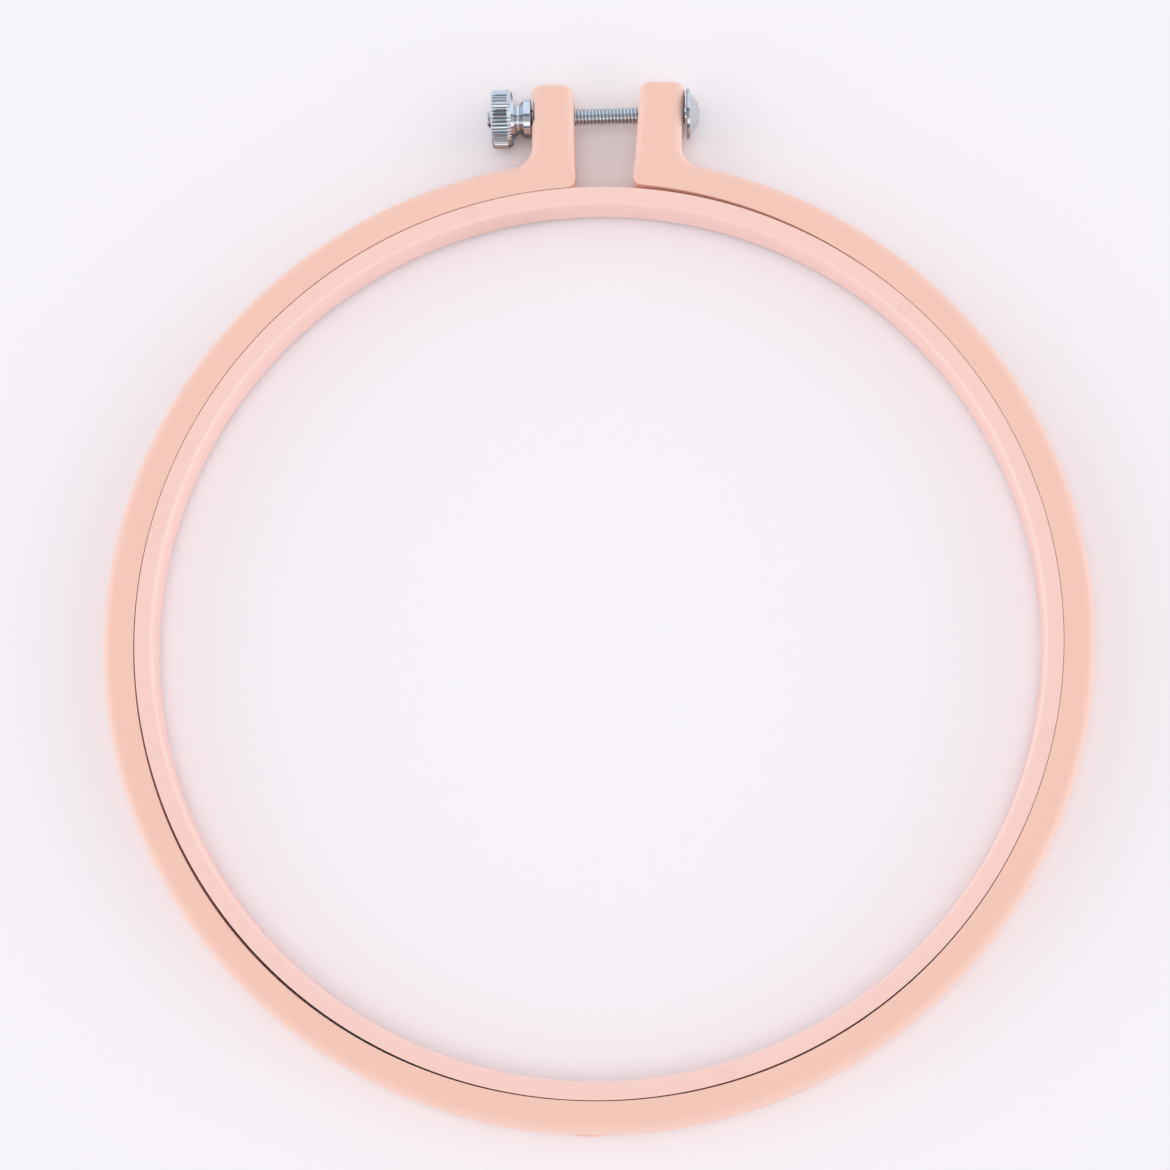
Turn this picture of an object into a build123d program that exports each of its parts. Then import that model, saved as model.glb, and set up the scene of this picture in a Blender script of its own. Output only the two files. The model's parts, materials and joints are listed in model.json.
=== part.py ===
from build123d import *
from math import acos, cos, degrees, radians, sin, tan
import os

# A plastic embroidery hoop, lying flat. Millimetres, +Z up, +Y towards the clamp.
# The origin is the centre of the inner ring, half-way up: the clamp screw's level.

# Rings
inner_ring_diameter = 200.0  # outside of the inner ring: a 20 cm hoop
inner_ring_wall = 3.95
outer_ring_wall = 6.65
ring_height = 10.0
seam_gap = 0.25  # between the two rings, all round
seam_shift_share = 0.4  # of the gap: how far the loose outer ring lies to the lower left
bore_edge_break = 0.7  # softened edges round the hoop's opening
seam_edge_break = 0.2  # broken edges along the seam between the rings
rim_radius = 2.05  # soft upper edges of the outer ring and of its lugs
rim_bevel = 1.4  # their lower edges

# The outer ring is split, and its loosened right-hand end has sprung off the inner ring
spring_start = 40.0  # azimuth in degrees where the right-hand end leaves the round
spring_rise = 0.75  # how far that end stands out at its lug

# Clamp lugs, measured where the screw passes
lug_gap = 13.8
nut_lug_width = 9.5
head_lug_width = 10.2
lug_reach = 17.9  # tip of a lug beyond the outside of the ring
screw_reach = 11.2  # screw axis beyond the outside of the ring
gap_side_lean = 2.2  # degrees by which each lug leans back from the gap
back_side_lean = 1.5  # degrees by which the back of a lug leans the same way
lug_corner_radius = 2.55
lug_root_radius = 5.4  # hollow between the back of a lug and the ring
lug_heel_radius = 2.2  # corner between the gap and the ring's inner wall
screw_hole_clearance = 0.2  # round the screw, in the lugs
nut_seat_diameter = 9.6  # shallow round seat for the thumb nut, sunk in its lug
nut_seat_depth = 0.7

# Marks left by the mould
mark_count = 6
mark_diameter = 2.75
mark_depth = 0.12
mark_azimuth = 47.3  # degrees, the first of the ejector marks
gate_width = 4.9
gate_height = 1.4
gate_proud = 0.4  # stub of the moulding gate, opposite the clamp

# Clamp screw
screw_diameter = 4.0
screw_length = 44.8  # from under the head to the tip
screw_tip_chamfer = 0.5
head_gap = 0.6  # the loosened screw's head stands off its lug
flange_diameter = 11.45
flange_thickness = 0.8
dome_diameter = 9.65
crown_diameter = 5.1
shoulder_height = 2.6  # edge of the crown above the underside of the head
head_height = 2.85
recess_span = 4.1
recess_floor_span = 1.7
recess_slot = 1.0
recess_depth = 1.7
flange_edge_break = 0.15

# Thumb nut
nut_gap = 0.25  # between the nut and its lug
nut_length = 8.75
nut_bore_clearance = 0.05  # round the screw, in the nut
nut_mouth_chamfer = 0.4
wheel_diameter = 13.1
wheel_length = 4.3
wheel_shoulder = 0.9  # across the radius, inside the knurl, on the side of the neck
wheel_shoulder_length = 0.85
knurl_count = 48
knurl_depth = 0.32
knurl_land_share = 0.2  # of the knurl's pitch
collar_diameter = 8.8
collar_length = 0.65
waist_diameter = 6.9
waist_length = 0.5
nose_diameter = 8.8
nose_length = 1.6
nose_chamfer = 0.15

# Every cut runs this far past the faces that it goes through
overrun = 2.0

on_base = (Align.CENTER, Align.CENTER, Align.MIN)

inner_ring_radius = inner_ring_diameter / 2
hoop_bore_radius = inner_ring_radius - inner_ring_wall
bore_radius = inner_ring_radius + seam_gap
outer_radius = bore_radius + outer_ring_wall
middle_radius = bore_radius + outer_ring_wall / 2
screw_radius = screw_diameter / 2
knurl_root = wheel_diameter / 2 - knurl_depth


def towards(azimuth):
    """Unit vector in the plane of the hoop."""
    return Vector(cos(radians(azimuth)), sin(radians(azimuth)))


seam_shift = seam_shift_share * seam_gap
ring_centre = towards(225) * seam_shift

# The sprung end runs on a larger arc that leaves the ring's own round tangentially
lug_azimuth = degrees(acos((lug_gap + head_lug_width) / 2 / middle_radius))
spring_angle = lug_azimuth - spring_start
spring_growth = spring_rise / (1 - cos(radians(spring_angle)))
spring_centre = ring_centre - towards(spring_start) * spring_growth
spring_ratio = middle_radius / (middle_radius + spring_growth)
spring_turn = spring_angle * (1 - spring_ratio)

# Carries a point of the unsprung right-hand end to where that end has sprung
lug_foot = ring_centre + towards(lug_azimuth) * middle_radius
sprung_azimuth = spring_start + spring_angle * spring_ratio
sprung_foot = spring_centre + towards(sprung_azimuth) * (middle_radius + spring_growth)
sprung = Pos(sprung_foot) * Rot(0, 0, -spring_turn) * Pos(-lug_foot)

# Heights along Y, from the ring's centre
screw_line = outer_radius + screw_reach
lug_tip = outer_radius + lug_reach


def gap_side(height):
    """Point on the gap side of the right-hand lug, unsprung."""
    across = lug_gap / 2 + (height - screw_line) * tan(radians(gap_side_lean))
    return ring_centre + Vector(across, height)


def back_side(height, width):
    """Point on the back of a right-hand lug of a given width, unsprung."""
    across = lug_gap / 2 + width + (height - screw_line) * tan(radians(back_side_lean))
    return ring_centre + Vector(across, height)


def mirrored(point):
    """The same point on the left-hand lug, across the ring's own centre line."""
    return Vector(2 * ring_centre.X - point.X, point.Y, point.Z)


def on_right(point):
    """The same point on the sprung right-hand lug."""
    return (sprung * Pos(point)).position


def filled(points):
    """Face inside a closed run of straight sides."""
    return make_face(Polyline(*points, close=True))


sides = ((on_right, head_lug_width), (mirrored, nut_lug_width))

# The screw's axis runs through the middles of both lugs, from the nut to the head
left_hole = mirrored(ring_centre + Vector((lug_gap + nut_lug_width) / 2, screw_line))
right_hole = on_right(ring_centre + Vector((lug_gap + head_lug_width) / 2, screw_line))
lug_spread = (right_hole - left_hole).length
screw_way = (right_hole - left_hole).normalized()


def on_screw(distance):
    """Place on the screw's axis, its Z towards the head, a distance past the left-hand lug."""
    place = left_hole + screw_way * distance
    return Location(Plane(origin=place, x_dir=Vector(0, 0, -1), z_dir=screw_way))


def ring_face(radius):
    """Disc of the outer ring at one radius, with the arc of its sprung end."""
    reach = 2 * outer_radius
    sector = filled(
        [ring_centre, ring_centre + towards(spring_start) * reach, ring_centre + towards(90) * reach]
    )
    disc = Pos(ring_centre) * Circle(radius)
    sprung_disc = Pos(spring_centre) * Circle(radius + spring_growth)
    return (disc - sector) + (sprung_disc & sector)


def gap_face():
    """The gap between the lugs, from inside the ring's bore to past their tips."""
    low = bore_radius - outer_ring_wall
    high = lug_tip + 2 * overrun
    past_middle = ring_centre - Vector(overrun, 0)
    half = [
        gap_side(low),
        gap_side(high),
        past_middle + Vector(0, high),
        past_middle + Vector(0, low),
    ]
    return filled([on_right(point) for point in half]) + filled([mirrored(point) for point in half])


def lug_face(place, width):
    """One lug, down to the middle of the ring's wall."""
    corners = [
        gap_side(middle_radius),
        gap_side(lug_tip),
        back_side(lug_tip, width),
        back_side(middle_radius, width),
    ]
    return filled([place(point) for point in corners])


def rounded_corners(face, points, radius):
    """Round the corners of a face that lie nearest to the given points."""
    corners = [min(face.vertices(), key=lambda v: (Vector(v) - point).length) for point in points]
    return fillet(corners, radius)


def outer_edges(face):
    """Edges of a flat face whose middles lie outside the bore."""
    return [edge for edge in face.edges() if (edge @ 0.5 - ring_centre).length > bore_radius]


def outer_ring_blank():
    """Split ring and lugs with soft outer edges, its bore left small."""
    core_radius = bore_radius - outer_ring_wall / 2
    outline = ring_face(outer_radius)
    for place, width in sides:
        outline += lug_face(place, width)
    outline = outline - ring_face(core_radius) - gap_face()
    tips = [place(gap_side(lug_tip)) for place, width in sides]
    tips += [place(back_side(lug_tip, width)) for place, width in sides]
    outline = rounded_corners(outline, tips, lug_corner_radius)
    roots = [place(back_side(outer_radius, width)) for place, width in sides]
    outline = rounded_corners(outline, roots, lug_root_radius)
    blank = extrude(outline, ring_height / 2, both=True)
    blank = fillet(outer_edges(blank.faces().sort_by(Axis.Z)[-1]), rim_radius)
    return chamfer(outer_edges(blank.faces().sort_by(Axis.Z)[0]), rim_bevel)


def outer_ring_trim():
    """Everything that the finished bore and the gap leave standing, with broken edges."""
    outline = Pos(ring_centre) * Circle(lug_tip + overrun) - ring_face(bore_radius) - gap_face()
    heels = [place(gap_side(bore_radius)) for place, width in sides]
    outline = rounded_corners(outline, heels, lug_heel_radius)
    trim = extrude(outline, ring_height / 2, both=True)
    return chamfer(trim.faces().filter_by(Axis.Z).edges(), seam_edge_break)


def outer_ring():
    """Split ring with two lugs, moulded in one piece."""
    ring = outer_ring_blank() & outer_ring_trim()
    hole = Cylinder(screw_radius + screw_hole_clearance, 2 * screw_length)
    ring -= on_screw(lug_spread / 2) * hole
    seat = Cylinder(nut_seat_diameter / 2, 2 * nut_seat_depth)
    ring -= on_screw(-nut_lug_width / 2) * seat
    gate_depth = gate_proud + overrun
    gate_middle = ring_centre + Vector(0, gate_depth / 2 - outer_radius - gate_proud)
    return ring + Pos(gate_middle) * Box(gate_width, gate_depth, gate_height)


def inner_ring():
    """Plain ring that the cloth is laid over, with the marks of the ejector pins."""
    ring = Cylinder(inner_ring_radius, ring_height)
    ring -= Cylinder(hoop_bore_radius, ring_height + 2 * overrun)
    rims = ring.edges().filter_by(GeomType.CIRCLE).group_by(lambda edge: edge.radius)
    ring = chamfer(rims[0], bore_edge_break)
    rims = ring.edges().filter_by(GeomType.CIRCLE).group_by(lambda edge: edge.radius)
    ring = chamfer(rims[-1], seam_edge_break)
    mark_radius = (hoop_bore_radius + bore_edge_break + inner_ring_radius - seam_edge_break) / 2
    mark = Cylinder(mark_diameter / 2, mark_depth + overrun, align=on_base)
    for number in range(mark_count):
        place = towards(mark_azimuth + number * 360 / mark_count) * mark_radius
        ring -= Pos(place.X, place.Y, ring_height / 2 - mark_depth) * mark
    return ring


def turned(outline):
    """Solid of revolution about Z, from an outline in (radius, height)."""
    return revolve(Plane.XZ * make_face(outline), Axis.Z)


def corner_run(*points):
    """Closed run of straight sides through (radius, height) points."""
    return Polyline(*points, close=True)


def cross_recess():
    """Cross-shaped hole for a driver, tapering to its floor."""
    floor = head_height - recess_depth
    blade = filled(
        [
            Vector(-recess_floor_span / 2, floor),
            Vector(recess_floor_span / 2, floor),
            Vector(recess_span / 2, head_height),
            Vector(recess_span / 2, head_height + overrun),
            Vector(-recess_span / 2, head_height + overrun),
            Vector(-recess_span / 2, head_height),
        ]
    )
    blade = extrude(Plane.XZ * blade, recess_slot / 2, both=True)
    return blade + Rot(0, 0, 90) * blade


def clamp_screw():
    """Screw with a wide flanged head, its underside at zero and its shank below."""
    shank = turned(
        corner_run(
            (0, -screw_length),
            (screw_radius - screw_tip_chamfer, -screw_length),
            (screw_radius, screw_tip_chamfer - screw_length),
            (screw_radius, flange_thickness),
            (0, flange_thickness),
        )
    )
    flange = Cylinder(flange_diameter / 2, flange_thickness, align=on_base)
    flange = chamfer(flange.edges().filter_by(GeomType.CIRCLE), flange_edge_break)
    top = (0, head_height)
    shoulder = (crown_diameter / 2, shoulder_height)
    dome_foot = flange_thickness - flange_edge_break
    flanks = Polyline(top, (0, dome_foot), (dome_diameter / 2, dome_foot), shoulder)
    dome = turned(flanks + TangentArc(top, shoulder, tangent=(1, 0)))
    return shank + flange + dome - cross_recess()


def knurl_face():
    """Outline of the straight knurl: one vee between each two lands."""
    pitch = 360 / knurl_count
    land = pitch * knurl_land_share
    points = []
    for tooth in range(knurl_count):
        azimuth = tooth * pitch
        points.append(towards(azimuth - land / 2) * (wheel_diameter / 2))
        points.append(towards(azimuth + land / 2) * (wheel_diameter / 2))
        points.append(towards(azimuth + pitch / 2) * knurl_root)
    return filled(points)


def thumb_nut():
    """Knurled wheel with a waisted neck, its nose at zero and its wheel below."""
    wheel_back = wheel_length - nut_length
    knurl_length = wheel_length - wheel_shoulder_length
    wheel = Pos(0, 0, -nut_length) * extrude(knurl_face(), knurl_length)
    collar_end = wheel_back + collar_length
    waist_middle = (collar_end - nose_length) / 2
    neck = turned(
        corner_run(
            (0, wheel_back - wheel_shoulder_length),
            (knurl_root, wheel_back - wheel_shoulder_length),
            (knurl_root - wheel_shoulder, wheel_back),
            (collar_diameter / 2, wheel_back),
            (collar_diameter / 2, collar_end),
            (waist_diameter / 2, waist_middle - waist_length / 2),
            (waist_diameter / 2, waist_middle + waist_length / 2),
            (nose_diameter / 2, -nose_length),
            (nose_diameter / 2, -nose_chamfer),
            (nose_diameter / 2 - nose_chamfer, 0),
            (0, 0),
        )
    )
    bore = screw_radius + nut_bore_clearance
    mouth = bore + nut_mouth_chamfer
    thread = turned(
        corner_run(
            (0, -nut_length),
            (mouth, -nut_length),
            (bore, nut_mouth_chamfer - nut_length),
            (bore, -nut_mouth_chamfer),
            (mouth, 0),
            (0, 0),
        )
    )
    return wheel + neck - thread


os.makedirs("parts", exist_ok=True)
pieces = {
    "outer_ring": outer_ring(),
    "inner_ring": inner_ring(),
    "clamp_screw": on_screw(lug_spread + head_lug_width / 2 + head_gap) * clamp_screw(),
    "thumb_nut": on_screw(-nut_lug_width / 2 - nut_gap) * thumb_nut(),
}
for name, piece in pieces.items():
    export_step(piece, f"parts/{name}.step")
print("screw axis: point", tuple(left_hole), "direction", tuple(screw_way))
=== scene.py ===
import json
from math import acos, atan2, cos, pi, radians, sin, sqrt, tan

import bmesh
import bpy
import numpy as np
from mathutils import Matrix, Vector


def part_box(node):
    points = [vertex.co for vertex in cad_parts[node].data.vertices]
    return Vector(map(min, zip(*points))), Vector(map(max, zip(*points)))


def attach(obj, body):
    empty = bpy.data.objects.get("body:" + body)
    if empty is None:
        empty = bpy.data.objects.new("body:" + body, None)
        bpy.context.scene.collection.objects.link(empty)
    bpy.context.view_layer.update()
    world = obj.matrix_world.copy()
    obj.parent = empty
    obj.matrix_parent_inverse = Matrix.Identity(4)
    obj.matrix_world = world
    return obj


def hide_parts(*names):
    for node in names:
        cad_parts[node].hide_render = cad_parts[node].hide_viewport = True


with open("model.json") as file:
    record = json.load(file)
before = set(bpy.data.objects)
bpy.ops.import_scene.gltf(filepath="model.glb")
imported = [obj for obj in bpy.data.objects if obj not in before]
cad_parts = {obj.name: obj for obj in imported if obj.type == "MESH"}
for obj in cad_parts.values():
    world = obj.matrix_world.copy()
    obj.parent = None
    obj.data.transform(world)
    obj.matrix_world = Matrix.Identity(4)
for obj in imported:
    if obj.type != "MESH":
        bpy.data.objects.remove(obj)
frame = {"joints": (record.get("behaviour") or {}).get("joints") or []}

bl_info = {
    "name": "Embroidery hoop",
    "version": (1, 0, 0),
    "blender": (4, 5, 0),
    "location": "View3D > Sidebar > Hoop",
    "description": "Builds a moulded embroidery hoop with its clamp screw and thumb nut",
    "category": "Add Mesh",
}

MM = 0.001
TOUCHING = 1e-7  # metres: points nearer than this are one point

# The screw's axis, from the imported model: a point in the left-hand lug and the way to the head
NUT_JOINT = next(joint for joint in frame["joints"] if joint["name"] == "nut_turn")
LEFT_HOLE = np.array(NUT_JOINT["pos_m"])
SCREW_WAY = np.array(NUT_JOINT["axis"])
SCREW_X = np.array([0.0, 0.0, -1.0])
SCREW_Y = np.cross(SCREW_WAY, SCREW_X)


# Properties


def length(name, millimetres, description):
    """A size of the object, given in millimetres and kept in metres."""
    return bpy.props.FloatProperty(
        name=name, description=description, default=millimetres * MM, min=0.0, precision=5, unit="LENGTH"
    )


def angle(name, in_degrees, description):
    """An angle, given in degrees and kept in radians."""
    return bpy.props.FloatProperty(
        name=name, description=description, default=radians(in_degrees), unit="ROTATION"
    )


def share(name, value, description, most=2.0):
    """A plain number, such as one size as a share of another."""
    return bpy.props.FloatProperty(name=name, description=description, default=value, min=0.0, max=most)


def linear(hex_code):
    """Linear red, green and blue of an sRGB hex colour."""
    srgb = np.array([int(hex_code[i : i + 2], 16) for i in (1, 3, 5)]) / 255
    return tuple(np.where(srgb <= 0.04045, srgb / 12.92, ((srgb + 0.055) / 1.055) ** 2.4))


def colour(name, hex_code, description):
    """A colour, given as sRGB hex and kept linear."""
    return bpy.props.FloatVectorProperty(
        name=name, description=description, default=linear(hex_code), subtype="COLOR", min=0.0, max=1.0
    )


class HoopSizes(bpy.types.PropertyGroup):
    """Sizes of the hoop's rings and clamp."""

    inner_diameter: length("Inner ring", 200.0, "Outside of the inner ring")
    inner_wall: length("Inner wall", 3.95, "Thickness of the inner ring")
    outer_wall: length("Outer wall", 6.65, "Thickness of the outer ring")
    ring_height: length("Ring height", 10.0, "Height of both rings")
    seam_gap: length("Seam", 0.25, "Gap between the two rings")
    seam_shift: length("Seam shift", 0.1, "How far the outer ring lies to the lower left")
    bore_edge: length("Bore edge", 1.1, "Rounding round the hoop's opening")
    seam_edge: length("Seam edge", 0.12, "Broken edges along the seam")
    rim: length("Rim", 2.05, "Rounding of the outer ring's upper edges")
    rim_spread: share("Rim spread", 1.15, "Width of that rounding against its size")
    rim_drop: share("Rim drop", 0.95, "Depth of that rounding against its size")
    rim_bevel: length("Rim bevel", 1.4, "Bevel of its lower edges")
    parting_ridge: length("Parting ridge", 0.04, "How far the mould's parting line stands out")
    level_lip: length("Level lip", 0.08, "Level border round the outer ring's flat faces")
    hairline: length("Hairline", 0.115, "Seam where the rings touch")
    spring_start: angle("Spring start", 40.0, "Azimuth where the loosened end leaves the round")
    spring_rise: length("Spring rise", 0.75, "How far the loosened end stands out")
    lug_gap: length("Lug gap", 13.8, "Gap between the lugs where the screw passes")
    nut_lug_width: length("Nut lug", 9.5, "Width of the lug on the nut's side")
    head_lug_width: length("Head lug", 10.2, "Width of the lug on the head's side")
    lug_reach: length("Lug reach", 17.9, "Tip of a lug beyond the ring")
    screw_reach: length("Screw reach", 11.2, "Screw axis beyond the ring")
    gap_lean: angle("Gap lean", 2.2, "How far the lugs lean back from the gap")
    back_lean: angle("Back lean", 1.5, "How far the back of a lug leans the same way")
    lug_corner: length("Lug corner", 2.55, "Corners of a lug's tip")
    lug_root: length("Lug root", 5.4, "Hollow between a lug and the ring")
    lug_heel: length("Lug heel", 2.2, "Corner between the gap and the bore")
    seat_diameter: length("Nut seat", 9.6, "Round seat for the thumb nut, sunk in its lug")
    seat_depth: length("Seat depth", 0.7, "Depth of the nut's seat")
    mark_diameter: length("Ejector mark", 2.75, "Marks that the ejector pins left")
    mark_depth: length("Mark depth", 0.1, "Depth of an ejector mark")
    mark_azimuth: angle("First mark", 47.3, "Azimuth of the first ejector mark")
    gate_width: length("Gate width", 4.8, "Stub of the moulding gate, along the ring")
    gate_height: length("Gate height", 1.4, "Height of the stub")


class HardwareSizes(bpy.types.PropertyGroup):
    """Sizes of the clamp screw and the thumb nut."""

    screw_diameter: length("Screw", 4.0, "Diameter over the thread")
    screw_length: length("Screw length", 44.8, "From under the head to the tip")
    pitch: length("Pitch", 0.79375, "One turn of the thread: 32 to the inch")
    thread_depth: share("Thread depth", 0.5, "Depth of the thread against its pitch")
    run_out: length("Run-out", 0.4, "Plain shank under the head")
    tip_chamfer: length("Tip chamfer", 0.55, "Chamfer of the screw's tip")
    hole_clearance: length("Hole clearance", 0.2, "Round the screw, in the lugs")
    head_gap: length("Head gap", 0.6, "Between the loosened head and its lug")
    flange_diameter: length("Flange", 11.45, "Flange of the head")
    flange_thickness: length("Flange thickness", 0.8, "Thickness of the flange")
    dome_diameter: length("Dome", 9.65, "Foot of the head's dome")
    crown_diameter: length("Crown", 5.1, "Crown of the head's dome")
    shoulder_height: length("Shoulder", 2.6, "Edge of the crown above the underside")
    head_height: length("Head height", 2.85, "Whole head above its underside")
    recess_span: length("Recess", 4.1, "Cross recess, tip to tip")
    recess_depth: length("Recess depth", 1.7, "Depth of the cross recess")
    nut_gap: length("Nut gap", 0.25, "Between the nut and its lug")
    nut_length: length("Nut length", 8.75, "Whole thumb nut")
    nut_clearance: length("Nut clearance", 0.05, "Round the screw, in the nut")
    nut_mouth: length("Nut mouth", 0.4, "Chamfers of the nut's bore")
    wheel_diameter: length("Wheel", 13.1, "Knurled wheel of the nut")
    wheel_length: length("Wheel length", 4.3, "Width of the wheel")
    wheel_chamfer: length("Wheel chamfer", 0.42, "Outer edge of the wheel")
    shoulder_width: length("Wheel shoulder", 1.2, "Slope from the knurl to the neck, across the radius")
    shoulder_length: length("Shoulder length", 0.6, "The same slope, along the nut")
    knurl_count: bpy.props.IntProperty(
        name="Knurl", description="Teeth of the straight knurl", default=48, min=3
    )
    knurl_depth: length("Knurl depth", 0.32, "Depth of the knurl")
    knurl_land: share("Knurl land", 0.2, "Level share of each tooth", 0.8)
    collar_diameter: length("Collar", 8.8, "Collar behind the wheel")
    collar_length: length("Collar length", 0.65, "Length of the collar")
    waist_diameter: length("Waist", 6.9, "Narrowest part of the neck")
    waist_length: length("Waist length", 0.6, "Length of that part")
    waist_rounding: length("Waist rounding", 0.9, "Hollows at its ends")
    nose_diameter: length("Nose", 8.8, "End of the nut that bears on the lug")
    nose_length: length("Nose length", 1.6, "Length of the nose")


class HoopColours(bpy.types.PropertyGroup):
    """Colours of the hoop and of the stage."""

    outer: colour("Outer ring", "#F6C9B8", "Salmon plastic of the outer ring")
    inner: colour("Inner ring", "#FAD2C8", "Paler plastic of the inner ring")
    # Painted highlight: the lighter colour that rounded edges get, standing in for sheen and light
    # through the plastic
    edge: colour("Edges", "#FFE4DA", "Plastic where it turns down at an edge")
    metal: colour("Plating", "#CED0D4", "Bright nickel plating")
    ground: colour("Ground", "#F9F7FC", "Paper under the hoop")
    # Painted shade: the grey that the plating sees on the paper beside the nut
    shade: colour("Ground in plating", "#9A9AA0", "Paper beside the nut as the plating shows it")


# Surfaces


def place_on_screw(points, distance):
    """Points with Z along the screw, carried to the screw's axis a distance past the left-hand lug."""
    x, y, z = points[..., 0:1], points[..., 1:2], points[..., 2:3]
    return LEFT_HOLE + x * SCREW_X + y * SCREW_Y + (z + distance) * SCREW_WAY


def grid_faces(rows, columns, closed_rows):
    """Quads of a grid whose columns run round; its rows close too if asked."""
    row = np.arange(rows if closed_rows else rows - 1)
    a, b = np.meshgrid(row, np.arange(columns), indexing="ij")
    c, d = (a + 1) % rows, (b + 1) % columns
    quads = np.stack([a * columns + b, a * columns + d, c * columns + d, c * columns + b], axis=-1)
    return quads.reshape(-1, 4).tolist()


def flat_end(first, columns, folded):
    """Faces that close one end of a grid: a polygon, or a strip between a folded outline's sides."""
    if not folded:
        return [list(range(first, first + columns))]
    one = first + np.arange(columns // 2 - 1)
    two = 2 * first + columns - 1 - one
    return np.stack([one, one + 1, two - 1, two], axis=-1).tolist()


def new_piece(context, name, grid, ends, crest=None):
    """Object from a grid of points (rows, columns, 3).

    Its ends are "closed" on each other, "flat", or flat and "folded": the outline then runs
    along one side and back along the other. The crest attribute is 1 on crests, 0 in grooves.
    """
    rows, columns = grid.shape[:2]
    faces = grid_faces(rows, columns, ends == "closed")
    if ends != "closed":
        faces += flat_end(0, columns, ends == "folded")
        faces += flat_end((rows - 1) * columns, columns, ends == "folded")
    mesh = bpy.data.meshes.new(name)
    mesh.from_pydata(grid.reshape(-1, 3).tolist(), [], faces)
    if crest is not None:
        mesh.attributes.new("crest", "FLOAT", "POINT").data.foreach_set("value", crest.ravel())
    tidy = bmesh.new()
    tidy.from_mesh(mesh)
    bmesh.ops.remove_doubles(tidy, verts=tidy.verts, dist=TOUCHING)
    bmesh.ops.recalc_face_normals(tidy, faces=tidy.faces)
    tidy.to_mesh(mesh)
    tidy.free()
    piece = bpy.data.objects.new(name, mesh)
    context.scene.collection.objects.link(piece)
    return piece


def cut_out(context, piece, tool):
    """Take the tool out of the piece and delete the tool. A cut that changes nothing is an error."""
    cut = piece.modifiers.new("cut", "BOOLEAN")
    cut.operation = "DIFFERENCE"
    cut.solver = "EXACT"
    cut.object = tool
    shaped = piece.evaluated_get(context.evaluated_depsgraph_get())
    mesh = bpy.data.meshes.new_from_object(shaped)
    if len(mesh.vertices) in (0, len(piece.data.vertices)):
        raise RuntimeError(f"the cut in {piece.name} failed")
    piece.modifiers.clear()
    piece.data = mesh
    bpy.data.objects.remove(tool)


def finish_piece(piece, material, sharp, body, node=None):
    """Smooth shading with crisp edges above an angle, a material, and its place in the frame."""
    piece.data.shade_smooth()
    piece.data.set_sharp_from_angle(angle=sharp)
    piece.data.materials.clear()
    piece.data.materials.append(material)
    if node:
        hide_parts(node)
    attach(piece, body)
    return piece


def lathe(profile, columns):
    """Grid of a profile in (radius, height) turned round Z: x = r cos t, y = r sin t, z = h."""
    turn = np.arange(columns) * 2 * pi / columns
    radius, height = profile[:, 0:1], profile[:, 1:2]
    return np.stack(
        [radius * np.cos(turn), radius * np.sin(turn), np.broadcast_to(height, (len(profile), columns))],
        axis=-1,
    )


def round_corner(before, corner, after, radius, steps):
    """Points and centre of the arc that rounds one corner between two straight sides."""
    before, corner, after = (np.asarray(p, float) for p in (before, corner, after))
    one = (before - corner) / np.linalg.norm(before - corner)
    two = (after - corner) / np.linalg.norm(after - corner)
    half = acos(np.clip(one @ two, -1, 1)) / 2
    middle = (one + two) / np.linalg.norm(one + two)
    centre = corner + middle * radius / sin(half)
    start = corner + one * radius / tan(half) - centre
    end = corner + two * radius / tan(half) - centre
    sweep = pi - 2 * half
    t = np.linspace(0, 1, steps)[:, None]
    points = centre + (start * np.sin((1 - t) * sweep) + end * np.sin(t * sweep)) / sin(sweep)
    return points, centre


def rounded_run(corners, steps=5):
    """Closed profile from (x, y, rounding) corners; a rounding of zero stays sharp."""
    points = np.array([corner[:2] for corner in corners])
    run = []
    for i, (x, y, radius) in enumerate(corners):
        if radius > 0:
            after = points[(i + 1) % len(points)]
            run.append(round_corner(points[i - 1], points[i], after, radius, steps)[0])
        else:
            run.append(np.array([[x, y]]))
    return np.concatenate(run)


# Outer ring


def towards(azimuth):
    """Unit vector in plan at an azimuth."""
    return np.array([cos(azimuth), sin(azimuth)])


def arc(centre, radius, start, end, steps, inside):
    """Arc in plan with the normal into the plastic: towards its centre if inside is 1, away if -1."""
    t = np.linspace(start, end, steps, endpoint=False)
    way = np.stack([np.cos(t), np.sin(t)], axis=-1)
    return np.asarray(centre) + radius * way, -inside * way


def straight(start, end, steps):
    """Straight run in plan, its plastic on the left."""
    t = np.linspace(0, 1, steps, endpoint=False)[:, None]
    start, end = np.asarray(start), np.asarray(end)
    way = (end - start) / np.linalg.norm(end - start)
    normal = np.array([-way[1], way[0]])
    return start + t * (end - start), np.broadcast_to(normal, (steps, 2))


def side_line(foot, lean, screw_line):
    """A lug's side, leaning by an angle about its point at the screw's height."""
    way = np.array([sin(lean), cos(lean)])
    return np.array([foot, screw_line]), way


def on_line_at_radius(point, way, radius):
    """Where a line that starts inside a circle round the origin leaves it, upwards."""
    along = point @ way
    return point + way * (-along + sqrt(along**2 - point @ point + radius**2))


def on_line_at_height(point, way, height):
    """Where a line in plan reaches a distance north of the origin."""
    return point + way * (height - point[1]) / way[1]


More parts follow.
